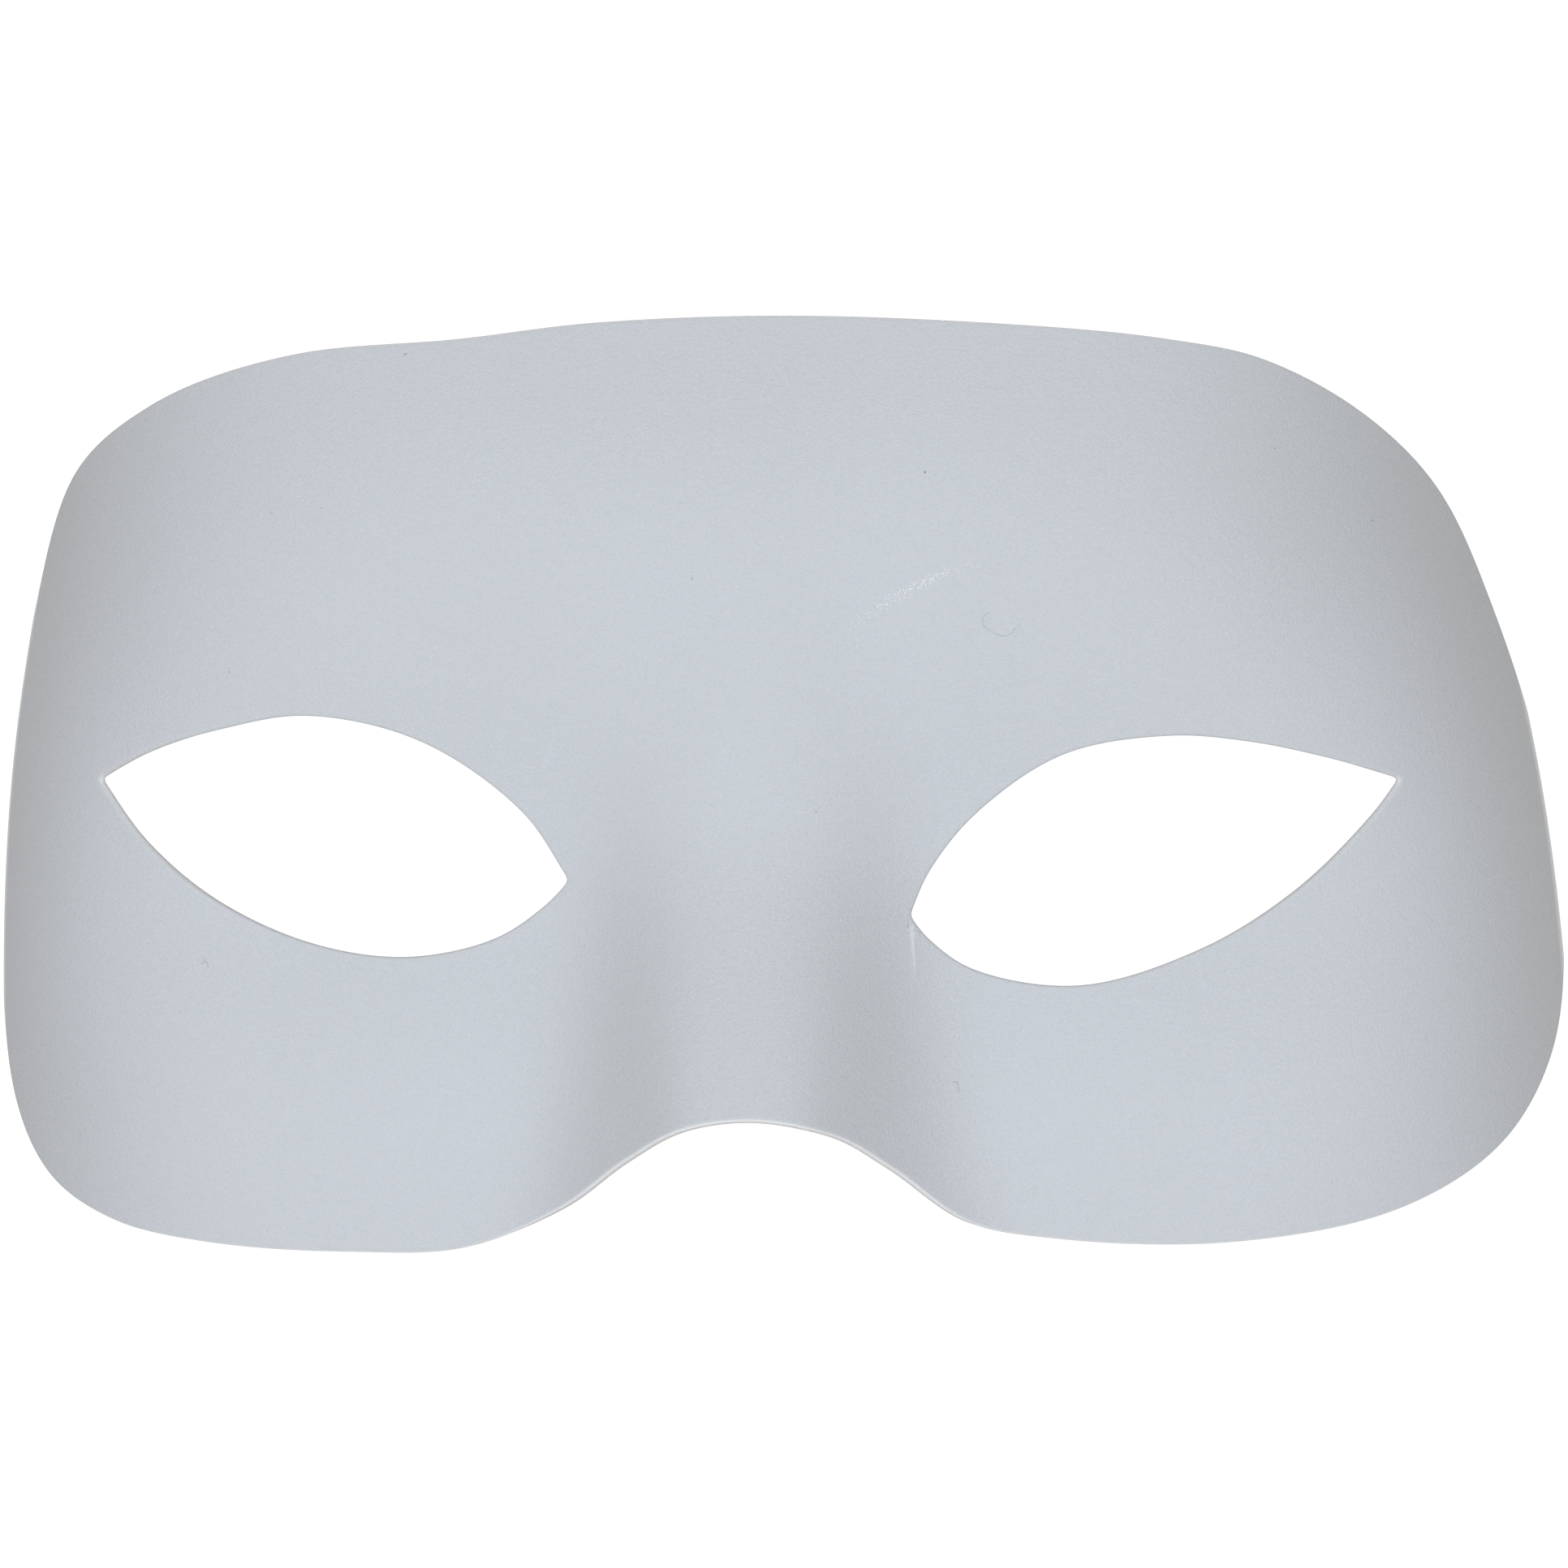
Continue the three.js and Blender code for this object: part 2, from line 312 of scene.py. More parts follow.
class HalfMaskSheet(bpy.types.PropertyGroup):
    """Sizes and finish of the plastic sheet."""

    thickness: length("Thickness", 0.8, "Thickness of the sheet")
    outer_rounding: length("Outer rounding", 0.3, "Rounding of the cut edge on the outer face")
    inner_rounding: length("Inner rounding", 0.03, "Rounding of the cut edge on the inner face")
    crease_lift: length("Crease lift", 0.05, "Height of the stress crease by the right eye")
    crease_width: length("Crease width", 0.16, "Half width of the stress crease")
    colour: tint("Plastic", (0.606, 0.639, 0.68), "Colour of the plastic")
    # The cut edge's colour is partly the whiter cut plastic and partly painted light for the thin
    # edges
    lit_cut_colour: tint("Cut edge", (0.865, 0.89, 0.915), "Colour of the plastic where it is cut")


class HalfMaskDust(bpy.types.PropertyGroup):
    """Sizes and colour of the dust on the outer face."""

    fibre_radius: length("Fibre radius", 0.03, "Half thickness of a common loose fibre")
    flatness: ratio("Flatness", 0.4, "Height of a speck against its width")
    colour: tint("Dust", (0.24, 0.245, 0.26), "Colour of the dust")


class HalfMaskStudio(bpy.types.PropertyGroup):
    """Floor, light and camera."""

    floor_size: length("Floor size", 8000, "Width of the floor")
    camera_distance: length("Camera distance", 560, "From the camera to the middle of the mask")
    camera_turn: FloatProperty(
        name="Camera turn",
        description="How far the camera stands to the right of straight above",
        default=math.radians(4.7),
        subtype="ANGLE",
    )
    floor_light: tint("Floor light", (0.33, 0.31, 0.288), "Light of the floor on the mask", most=2)
    floor_glow: tint("Floor glow", (1.05, 1.05, 1.05), "The floor as the camera sees it", most=2)
    light: tint("Light", (1.69, 1.86, 2.075), "Strength of the soft light from above", most=10)
    surround: tint("Surround", (0.463, 0.412, 0.352), "Light from the pale surround", most=2)


GROUPS = (HalfMaskForm, HalfMaskSheet, HalfMaskDust, HalfMaskStudio)


def fill_inputs(tree, node, inputs):
    """Gives every named input of a node its value, or links it to the socket that feeds it."""
    for name, value in inputs.items():
        if isinstance(value, bpy.types.NodeSocket):
            tree.links.new(value, node.inputs[name])
        else:
            node.inputs[name].default_value = value


def add_node(tree, kind, inputs=None, **settings):
    """Adds a node, makes its settings and fills its inputs."""
    node = tree.nodes.new(kind)
    for key, value in settings.items():
        setattr(node, key, value)
    fill_inputs(tree, node, inputs or {})
    return node


class Number:
    """A number in a node tree, so that a height can be written as a formula."""

    def __init__(self, tree, socket):
        self.tree = tree
        self.socket = socket

    def maths(self, operation, *values):
        inputs = {i: v.socket if isinstance(v, Number) else v for i, v in enumerate(values)}
        node = add_node(self.tree, "ShaderNodeMath", inputs, operation=operation)
        return Number(self.tree, node.outputs[0])

    def __add__(self, other):
        return self.maths("ADD", self, other)

    def __sub__(self, other):
        return self.maths("SUBTRACT", self, other)

    def __mul__(self, other):
        return self.maths("MULTIPLY", self, other)

    def __truediv__(self, other):
        return self.maths("DIVIDE", self, other)

    def __radd__(self, other):
        return self.maths("ADD", other, self)

    def __rsub__(self, other):
        return self.maths("SUBTRACT", other, self)

    def __rtruediv__(self, other):
        return self.maths("DIVIDE", other, self)

    def __neg__(self):
        return self.maths("MULTIPLY", self, -1.0)

    def __abs__(self):
        return self.maths("ABSOLUTE", self)

    def exp(self):
        return self.maths("EXPONENT", self)

    def log(self):
        return self.maths("LOGARITHM", self, math.e)

    def root(self):
        return self.maths("SQRT", self)

    def at_least(self, other):
        return self.maths("MAXIMUM", self, other)

    def at_most(self, other):
        return self.maths("MINIMUM", self, other)


def soft_ramp(t, softness):
    """0 below zero and t above it, with the bend between them rounded."""
    u = t / softness
    return softness * (u.at_least(0) + (1 + (-abs(u)).exp()).log())


def soft_lower(a, b, softness):
    """The lower of two heights, with the edge between them rounded."""
    return a - soft_ramp(a - b, softness)


def bell(t, spread):
    u = t / spread
    return (-(u * u)).exp()


def front_height(x, y, form):
    above = y.at_least(0)
    below = y.at_most(0)
    out = x / form["temple_at"]
    face = form["front_height"] + form["front_tilt"] * y
    face = face - form["forehead_bend"] * above * above - form["cheek_bend"] * below * below
    face = face - form["temple_drop"] * (out * out) * (out * out)
    brow = form["brow_rise"] * bell(y - form["brow_at"], form["brow_spread"])
    beside_nose = 1 / (1 + ((form["socket_inner"] - abs(x)) / form["socket_blend"]).exp())
    socket = form["socket_depth"] * bell(y - form["socket_at"], form["socket_spread"])
    return face + brow - socket * beside_nose


def wall_height(x, y, form):
    slope = form["wall_slope"] + form["wall_steepening"] * y
    foot = form["foot_half_width"] - form["foot_taper"] * y - form["foot_bow"] * y * y
    inside = foot - abs(x + form["wall_lean"] * (y - form["widest_at"]))
    bowed = inside.at_least(0)
    return slope * inside - form["wall_bow"] * bowed * bowed


def nose_height(x, y, form):
    along = soft_ramp(form["nose_from"] - y, form["nose_blend"])
    off = x - form["nose_middle"]
    aside = (off * off + form["flank_rounding"] * form["flank_rounding"]).root()
    flank = form["flank_slope"] * (form["flank_half_width"] - form["flank_spread"] * y - aside)
    softness = (form["top_softness"] - form["top_loss"] * along).at_least(form["top_least"])
    return soft_ramp(
        soft_lower(form["nose_rise"] * along, flank, softness), form["nose_crease"]
    )


def face_height(x, y, form):
    """Height of the outer face over the plane of the side rims."""
    growth = form["turn_growth"] * soft_ramp(y - form["turn_from"], form["turn_blend"])
    loss = form["check_loss"] * soft_ramp(y - form["check_from"], form["check_blend"])
    softness = form["turn_softness"] + growth - loss
    shell = soft_lower(front_height(x, y, form), wall_height(x, y, form), softness)
    return shell + nose_height(x, y, form)


def add_input(tree, name, kind="NodeSocketFloat", subtype="NONE"):
    socket = tree.interface.new_socket(name, in_out="INPUT", socket_type=kind)
    if kind == "NodeSocketFloat":
        socket.subtype = subtype
    return socket.identifier


def form_inputs(tree):
    """Gives the tree an input for every size of the form, as {name: socket identifier}."""
    found = {}
    for key in HalfMaskForm.__annotations__:
        prop = HalfMaskForm.bl_rna.properties[key]
        subtype = "DISTANCE" if prop.subtype == "DISTANCE" else "NONE"
        found[key] = add_input(tree, prop.name, subtype=subtype)
    return found


def height_group():
    """The face as a rule: the height of its outer face at X and Y."""
    tree = bpy.data.node_groups.new("Face height", "GeometryNodeTree")
    add_input(tree, "X", subtype="DISTANCE")
    add_input(tree, "Y", subtype="DISTANCE")
    keys = form_inputs(tree)
    tree.interface.new_socket("Height", in_out="OUTPUT", socket_type="NodeSocketFloat")
    given = add_node(tree, "NodeGroupInput").outputs
    sockets = {s.identifier: s for s in given}
    form = {key: Number(tree, sockets[name]) for key, name in keys.items()}
    height = face_height(Number(tree, given["X"]), Number(tree, given["Y"]), form)
    add_node(tree, "NodeGroupOutput", {"Height": height.socket})
    return tree


class FaceTree:
    """A node tree that places points on the face, with an input for every size of the form."""

    def __init__(self, name, heights, extras):
        self.tree = bpy.data.node_groups.new(name, "GeometryNodeTree")
        self.heights = heights
        add_input(self.tree, "Geometry", "NodeSocketGeometry")
        self.keys = form_inputs(self.tree)
        for key, label, kind in extras:
            self.keys[key] = add_input(self.tree, label, kind)
        self.tree.interface.new_socket(
            "Geometry", in_out="OUTPUT", socket_type="NodeSocketGeometry"
        )
        self.given = self.node("NodeGroupInput").outputs["Geometry"]
        self.sockets = {s.identifier: s for s in self.given.node.outputs}

    def node(self, kind, inputs=None, **settings):
        return add_node(self.tree, kind, inputs, **settings)

    def value(self, key):
        return Number(self.tree, self.sockets[self.keys[key]])

    def attribute(self, name, kind):
        node = self.node("GeometryNodeInputNamedAttribute", {"Name": name}, data_type=kind)
        return node.outputs["Attribute"]

    def parts(self, vector):
        """The X, Y and Z of a vector as numbers."""
        node = self.node("ShaderNodeSeparateXYZ", {0: vector})
        return [Number(self.tree, out) for out in node.outputs]

    def vector(self, x, y, z):
        inputs = {"X": x.socket, "Y": y.socket, "Z": z.socket}
        return self.node("ShaderNodeCombineXYZ", inputs).outputs[0]

    def height(self, x, y):
        inputs = {"X": x.socket, "Y": y.socket}
        for key in HalfMaskForm.__annotations__:
            name = HalfMaskForm.bl_rna.properties[key].name
            inputs[name] = self.sockets[self.keys[key]]
        group = self.node("GeometryNodeGroup", inputs, node_tree=self.heights)
        return Number(self.tree, group.outputs["Height"])

    def surface(self, x, y):
        """Height at x, y and its slopes along X and Y."""
        step = SLOPE_STEP * MM
        z = self.height(x, y)
        slope_x = (self.height(x + step, y) - self.height(x - step, y)) / (2 * step)
        slope_y = (self.height(x, y + step) - self.height(x, y - step)) / (2 * step)
        return z, slope_x, slope_y

    def finish(self, geometry):
        """Ends the tree: makes its geometry real, gives it its material and hands it out."""
        realize = self.node("GeometryNodeRealizeInstances", {"Geometry": geometry})
        material = self.sockets[self.keys["material"]]
        inputs = {"Geometry": realize.outputs["Geometry"], "Material": material}
        painted = self.node("GeometryNodeSetMaterial", inputs).outputs["Geometry"]
        self.node("NodeGroupOutput", {"Geometry": painted})
        return self.tree, self.keys


def crease_lift(tree, x, y):
    """A narrow fold that runs down from the inner corner of the right eye and fades out."""
    top, foot = ([v * MM for v in end] for end in CREASE)
    along = (foot[0] - top[0], foot[1] - top[1])
    reach = along[0] ** 2 + along[1] ** 2
    part = ((x - top[0]) * along[0] + (y - top[1]) * along[1]) / reach
    part = part.at_least(0).at_most(1)
    off_x = x - top[0] - part * along[0]
    off_y = y - top[1] - part * along[1]
    away = (off_x * off_x + off_y * off_y).root()
    return tree.value("crease_lift") * (1 - part * part) * bell(away, tree.value("crease_width"))


def pressing_tree(heights):
    """Presses the flat sheet over the face, keeping its thickness square to the surface."""
    extras = [
        ("crease_lift", "Crease lift", "NodeSocketFloat"),
        ("crease_width", "Crease width", "NodeSocketFloat"),
        ("material", "Material", "NodeSocketMaterial"),
    ]
    tree = FaceTree("Press over the face", heights, extras)
    flat_x, flat_y, flat_z = tree.parts(tree.node("GeometryNodeInputPosition").outputs[0])
    in_x, in_y, _ = tree.parts(tree.attribute("inward", "FLOAT_VECTOR"))
    inset = Number(tree.tree, tree.attribute("inset", "FLOAT"))
    edge_x = flat_x - in_x * inset
    edge_y = flat_y - in_y * inset
    _, slope_x, slope_y = tree.surface(edge_x, edge_y)
    slope_in = slope_x * in_x + slope_y * in_y
    drawn = inset / (1 + slope_in * slope_in).root()
    x = edge_x + in_x * drawn
    y = edge_y + in_y * drawn
    z, slope_x, slope_y = tree.surface(x, y)
    steepness = (1 + slope_x * slope_x + slope_y * slope_y).root()
    out = (flat_z + crease_lift(tree, x, y)) / steepness
    pressed = tree.vector(
        x - slope_x * out - MIDDLE[0] * MM, y - slope_y * out - MIDDLE[1] * MM, z + out
    )
    inputs = {"Geometry": tree.given, "Position": pressed}
    return tree.finish(tree.node("GeometryNodeSetPosition", inputs).outputs["Geometry"])


def dust_tree(heights):
    """Lays specks on the loose points and fibres along the edges of a flat pattern."""
    extras = [
        ("fibre_radius", "Fibre radius", "NodeSocketFloat"),
        ("flatness", "Flatness", "NodeSocketFloat"),
        ("seed", "Seed", "NodeSocketInt"),
        ("material", "Material", "NodeSocketMaterial"),
    ]
    tree = FaceTree("Lay dust on the face", heights, extras)
    x, y, _ = tree.parts(tree.node("GeometryNodeInputPosition").outputs[0])
    z, slope_x, slope_y = tree.surface(x, y)
    upright = tree.node(
        "GeometryNodeStoreNamedAttribute",
        {
            "Name": "upright",
            "Geometry": tree.given,
            "Value": tree.vector(-slope_x, -slope_y, z * 0 + 1),
        },
        data_type="FLOAT_VECTOR",
        domain="POINT",
    )
    laid = tree.vector(x - MIDDLE[0] * MM, y - MIDDLE[1] * MM, z)
    inputs = {"Geometry": upright.outputs["Geometry"], "Position": laid}
    pattern = tree.node("GeometryNodeSetPosition", inputs).outputs["Geometry"]

    inputs = {"Radius": 0.5, "Subdivisions": SPECK_DIVISIONS}
    ball = tree.node("GeometryNodeMeshIcoSphere", inputs).outputs["Mesh"]
    wobble = tree.node("ShaderNodeTexNoise", {"Scale": SPECK_DENTS_PER_WIDTH}).outputs["Color"]
    inputs = {0: wobble, 1: (SPECK_DENT,) * 3, 2: (-SPECK_DENT / 2,) * 3}
    dents = tree.node("ShaderNodeVectorMath", inputs, operation="MULTIPLY_ADD").outputs[0]
    speck = tree.node("GeometryNodeSetPosition", {"Geometry": ball, "Offset": dents})
    inputs = {"Max": math.tau, "Seed": tree.sockets[tree.keys["seed"]]}
    turn = tree.node("FunctionNodeRandomValue", inputs, data_type="FLOAT").outputs["Value"]
    inputs = {
        "Rotation": tree.node("ShaderNodeCombineXYZ", {"Z": turn}).outputs[0],
        "Vector": tree.attribute("upright", "FLOAT_VECTOR"),
    }
    stand = tree.node("FunctionNodeAlignRotationToVector", inputs, axis="Z")
    width = Number(tree.tree, tree.attribute("width", "FLOAT"))
    inputs = {
        "Points": pattern,
        "Selection": width.maths("GREATER_THAN", width, 0.0).socket,
        "Instance": speck.outputs["Geometry"],
        "Rotation": stand.outputs["Rotation"],
        "Scale": tree.vector(width, width, width * tree.value("flatness")),
    }
    specks = tree.node("GeometryNodeInstanceOnPoints", inputs).outputs["Instances"]

    inputs = {"Resolution": FIBRE_SIDES, "Radius": tree.value("fibre_radius").socket}
    section = tree.node("GeometryNodeCurvePrimitiveCircle", inputs)
    lines = tree.node("GeometryNodeMeshToCurve", {"Mesh": pattern})
    inputs = {
        "Curve": lines.outputs["Curve"],
        "Profile Curve": section.outputs["Curve"],
        "Scale": tree.attribute("thickness", "FLOAT"),
        "Fill Caps": True,
    }
    fibres = tree.node("GeometryNodeCurveToMesh", inputs).outputs["Mesh"]
    join = tree.node("GeometryNodeJoinGeometry", {"Geometry": specks})
    fill_inputs(tree.tree, join, {"Geometry": fibres})
    return tree.finish(join.outputs["Geometry"])


def smooth_curve(anchors, closed, steps=24):
    """Centripetal Catmull-Rom curve through the anchors, as closely spaced points."""
    p = np.asarray(anchors, float)
    count = len(p)
    t = (np.arange(steps) / steps)[:, None]
    runs = []
    for i in range(count if closed else count - 1):
        p1, p2 = p[i], p[(i + 1) % count]
        p0 = p[i - 1] if closed or i else 2 * p[0] - p[1]
        p3 = p[(i + 2) % count] if closed or i + 2 < count else 2 * p[-1] - p[-2]
        d0, d1, d2 = (math.sqrt(np.linalg.norm(b - a)) for a, b in ((p0, p1), (p1, p2), (p2, p3)))
        start = ((p1 - p0) / d0 - (p2 - p0) / (d0 + d1) + (p2 - p1) / d1) * d1
        end = ((p2 - p1) / d1 - (p3 - p1) / (d1 + d2) + (p3 - p2) / d2) * d1
        c2 = 3 * (p2 - p1) - 2 * start - end
        c3 = 2 * (p1 - p2) + start + end
        runs.append(p1 + start * t + c2 * t**2 + c3 * t**3)
    if not closed:
        runs.append(p[-1:])
    return np.concatenate(runs)


def even_points(points, step, closed):
    """The same line as points at even steps."""
    line = np.vstack([points, points[:1]]) if closed else points
    along = np.concatenate([[0], np.cumsum(np.linalg.norm(np.diff(line, axis=0), axis=1))])
    count = max(int(round(along[-1] / step)), 2)
    wanted = np.linspace(0, along[-1], count + 1)
    if closed:
        wanted = wanted[:-1]
    return np.stack([np.interp(wanted, along, line[:, k]) for k in (0, 1)], axis=1)


def signed_area(loop):
    ahead = np.roll(loop, -1, axis=0)
    return 0.5 * np.sum(loop[:, 0] * ahead[:, 1] - loop[:, 1] * ahead[:, 0])


def punched_loop(points, hole):
    """An edge as an even loop with slightly rounded corners, and its directions into the sheet."""
    loop = even_points(points, EDGE_STEP / 2, closed=True)
    for _ in range(CORNER_PASSES):
        loop = (np.roll(loop, 1, axis=0) + 2 * loop + np.roll(loop, -1, axis=0)) / 4
    loop = even_points(loop, EDGE_STEP, closed=True)
    if (signed_area(loop) > 0) == hole:
        loop = loop[::-1]
    ahead = np.roll(loop, -1, axis=0) - np.roll(loop, 1, axis=0)
    inward = np.stack([-ahead[:, 1], ahead[:, 0]], axis=1)
    return loop, inward / np.linalg.norm(inward, axis=1)[:, None]


def eye_line(eye):
    upper = smooth_curve(eye["upper"], closed=False)
    lower = smooth_curve(eye["lower"], closed=False)
    return np.concatenate([upper, lower[-2:0:-1]])


def unrolled(x):
    """Distance along the sheet as if its side walls lay flat."""
    past = (np.abs(x) - WALL_FROM) / WALL_BLEND
    return x + np.sign(x) * WALL_STRETCH * WALL_BLEND * np.logaddexp(0, past)


def rolled(s):
    """The x that unrolled() puts at s."""
    table = np.arange(-ROLLED_REACH, ROLLED_REACH, ROLLED_STEP)
    return np.interp(s, unrolled(table), table)


def lattice(step, low, high):
    """A triangular lattice of points between two corners."""
    rows = np.arange(low[1], high[1], step * math.sqrt(3) / 2)
    columns = np.arange(low[0], high[0], step)
    s, y = np.meshgrid(columns, rows)
    s = s + (np.arange(len(rows)) % 2)[:, None] * step / 2
    return np.stack([s.ravel(), y.ravel()], axis=1)


def filled_face(loops, directions, step, fine_box=None):
    """Triangles between loops: returns the added points and faces over loops plus points."""
    edge = np.concatenate(loops)
    flat = np.stack([unrolled(edge[:, 0]), edge[:, 1]], axis=1)
    inward = np.concatenate(directions)
    points = lattice(step, flat.min(0), flat.max(0))
    if fine_box is not None:
        low, high = fine_box
        inside = np.all((points > low) & (points < high), axis=1)
        points = np.concatenate([points[~inside], lattice(FINE_STEP, low, high)])
    near = KDTree(len(flat))
    for i, (s, y) in enumerate(flat):
        near.insert((s, y, 0), i)
    near.balance()
    kept = []
    for s, y in points:
        _, i, _ = near.find((s, y, 0))
        clearance = (s - flat[i, 0]) * inward[i, 0] + (y - flat[i, 1]) * inward[i, 1]
        if clearance > EDGE_CLEARANCE * step:
            kept.append((s, y))
    kept = np.array(kept)
    corners = [Vector(p) for p in np.concatenate([flat, kept])]
    edges, start = [], 0
    for loop in loops:
        edges += [(start + i, start + (i + 1) % len(loop)) for i in range(len(loop))]
        start += len(loop)
    _, _, faces, origins, _, _ = delaunay_2d_cdt(
        corners, edges, [], 0, CROSSING_DISTANCE, True
    )
    if any(len(o) != 1 for o in origins):
        raise RuntimeError("the sheet's lines cross, so it can't be divided")
    number = [o[0] for o in origins]
    spots = np.concatenate([flat, kept])
    good = []
    for face in faces:
        a, b, c = (number[v] for v in face)
        if max(a, b, c) < start and not on_sheet(spots[[a, b, c]].mean(axis=0), loops):
            continue
        good.append((a, b, c))
    added = np.stack([rolled(kept[:, 0]), kept[:, 1]], axis=1)
    return added, good


def on_sheet(spot, loops):
    """Whether a spot of the unrolled sheet lies inside the outline and outside the eye holes."""
    x, y = rolled(spot[0]), spot[1]
    crossings = 0
    for loop in loops:
        ahead = np.roll(loop, -1, axis=0)
        spans = (loop[:, 1] > y) != (ahead[:, 1] > y)
        a, b = loop[spans], ahead[spans]
        at = a[:, 0] + (y - a[:, 1]) / (b[:, 1] - a[:, 1]) * (b[:, 0] - a[:, 0])
        crossings += int(np.sum(at > x))
    return crossings % 2 == 1


def edge_section(sheet):
    """The cut edge in section, from the inner face over the cut to the outer face."""
    wall, outer, inner = (
        v / MM for v in (sheet.thickness, sheet.outer_rounding, sheet.inner_rounding)
    )
    section = [(INNER_BAND, -wall)]
    roundings = (
        (inner, -wall + inner, -1, INNER_ROUNDING_STEPS),
        (outer, -outer, 1, OUTER_ROUNDING_STEPS),
    )
    for radius, level, side, steps in roundings:
        angles = np.linspace(0, math.pi / 2, steps + 1)
        if side < 0:
            angles = angles[::-1]
        for a in angles:
            section.append((radius * (1 - math.cos(a)), level + side * radius * math.sin(a)))
    section.append((OUTER_BAND, 0.0))
    return section


def flat_sheet(sheet):
    """The punched sheet, lying flat, with the inset and direction of its edge points kept."""
    edges = [
        punched_loop(smooth_curve(OUTLINE, closed=True), hole=False),
        punched_loop(eye_line(LEFT_EYE), hole=True),
        punched_loop(eye_line(RIGHT_EYE), hole=True),
    ]
    loops = [loop for loop, _ in edges]
    inwards = [inward for _, inward in edges]
    count = sum(len(loop) for loop in loops)
    loop_all = np.concatenate(loops)
    inward_all = np.concatenate(inwards)
    section = edge_section(sheet)
    places, insets, depths, lit_nearness, faces = [], [], [], [], []
    reach, strength = (np.full(count, value) for value in EYE_LIT_CUT)
    reach[: len(loops[0])], strength[: len(loops[0])] = OUTLINE_LIT_CUT
    for inset, depth in section:
        places.append(loop_all + inward_all * inset)
        insets.append(np.full(count, inset))
        depths.append(np.full(count, depth))
        lit_nearness.append(strength * np.maximum(0, 1 - inset / reach))
    start = 0
    for loop in loops:
        for ring in range(len(section) - 1):
            low, high = ring * count + start, (ring + 1) * count + start
            for i in range(len(loop)):
                j = (i + 1) % len(loop)
                faces.append((low + i, low + j, high + j, high + i))
        start += len(loop)
    sides = (
        (0, INNER_BAND, INNER_STEP, None),
        (len(section) - 1, OUTER_BAND, OUTER_STEP, CREASE_BOX),
    )
    total = count * len(section)
    for ring, band, step, fine_box in sides:
        rims = [loop + inward * band for loop, inward in edges]
        added, triangles = filled_face(rims, inwards, step, fine_box)
        number = np.concatenate([np.arange(count) + ring * count, np.arange(len(added)) + total])
        for a, b, c in triangles:
            # the inner face starts from ring 0 and looks the other way
            turned = (a, b, c) if ring else (a, c, b)
            faces.append(tuple(int(number[v]) for v in turned))
        places.append(added)
        insets.append(np.zeros(len(added)))
        depths.append(np.full(len(added), section[ring][1]))
        lit_nearness.append(np.zeros(len(added)))
        total += len(added)
    places, depths = np.concatenate(places), np.concatenate(depths)
    mesh = bpy.data.meshes.new("flat sheet")
    mesh.from_pydata(np.column_stack([places, depths]) * MM, [], faces)
    keep_attribute(mesh, "inset", "FLOAT", np.concatenate(insets) * MM)
    # How strongly the cut edges get painted light, where painted glints show, and the whitened
    # stress mark
    keep_attribute(mesh, "cut", "FLOAT", np.concatenate(lit_nearness))
    keep_attribute(mesh, "painted_glints", "FLOAT", painted_glint_part(places))
    keep_attribute(mesh, "whitened", "FLOAT", whitened_part(places))
    directions = np.zeros((total, 3))
    directions[: count * len(section), :2] = np.tile(inward_all, (len(section), 1))
    keep_attribute(mesh, "inward", "FLOAT_VECTOR", directions)
    return mesh


def distance_to_line(places, line):
    """Distance of every place to a run of points, and how far along the run it comes nearest."""
    nearest = np.full(len(places), np.inf)
    along = np.zeros(len(places))
    for i, (start, end) in enumerate(zip(np.array(line[:-1]), np.array(line[1:]))):
        run = end - start
        part = np.clip(((places - start) @ run) / (run @ run), 0, 1)
        away = np.linalg.norm(places - start - part[:, None] * run, axis=1)
        along = np.where(away < nearest, (i + part) / (len(line) - 1), along)
        nearest = np.minimum(away, nearest)
    return nearest, along


def painted_glint_part(places):
    """How strongly the painted glints show at each place, least at the ends of each run."""
    found = np.zeros(len(places))
    for line, half_width, strength in PAINTED_GLINT_RUNS:
        away, along = distance_to_line(places, line)
        fade = strength * (1 - (2 * along - 1) ** 2 * PAINTED_GLINT_LOSS)
        found = np.maximum(found, fade * np.exp(-((away / half_width) ** 2)))
    return found


def whitened_part(places):
    """How strongly the stress mark whitens the plastic at each place, strongest at its top."""
    away, along = distance_to_line(places, CREASE)
    half_width = WHITENED_WIDTH - WHITENED_LOSS * along
    return np.exp(-((away / half_width) ** 2)) * (1 - along**3)


def keep_attribute(mesh, name, kind, values):
    field = "vector" if kind == "FLOAT_VECTOR" else "value"
    made = mesh.attributes.new(name, kind, "POINT")
    made.data.foreach_set(field, np.asarray(values, np.float32).ravel())


def run_tree(mesh, tree, keys, groups, extras, name):
    """Runs a node tree over a mesh and returns the result as a plain object."""
    source = bpy.data.objects.new(name + " source", mesh)
    bpy.context.scene.collection.objects.link(source)
    modifier = source.modifiers.new("Build", "NODES")
    modifier.node_group = tree
    for key, identifier in keys.items():
        if key in extras:
            modifier[identifier] = extras[key]
            continue
        for group in groups:
            if hasattr(group, key):
                modifier[identifier] = getattr(group, key)
    evaluated = source.evaluated_get(bpy.context.evaluated_depsgraph_get())
    made = bpy.data.meshes.new_from_object(evaluated)
    source.modifiers.remove(modifier)
    bpy.data.objects.remove(source)
    if not made.polygons:
        raise RuntimeError(f"the tree {tree.name} made nothing")
    made.name = name
    piece = bpy.data.objects.new(name, made)
    bpy.context.scene.collection.objects.link(piece)
    return piece


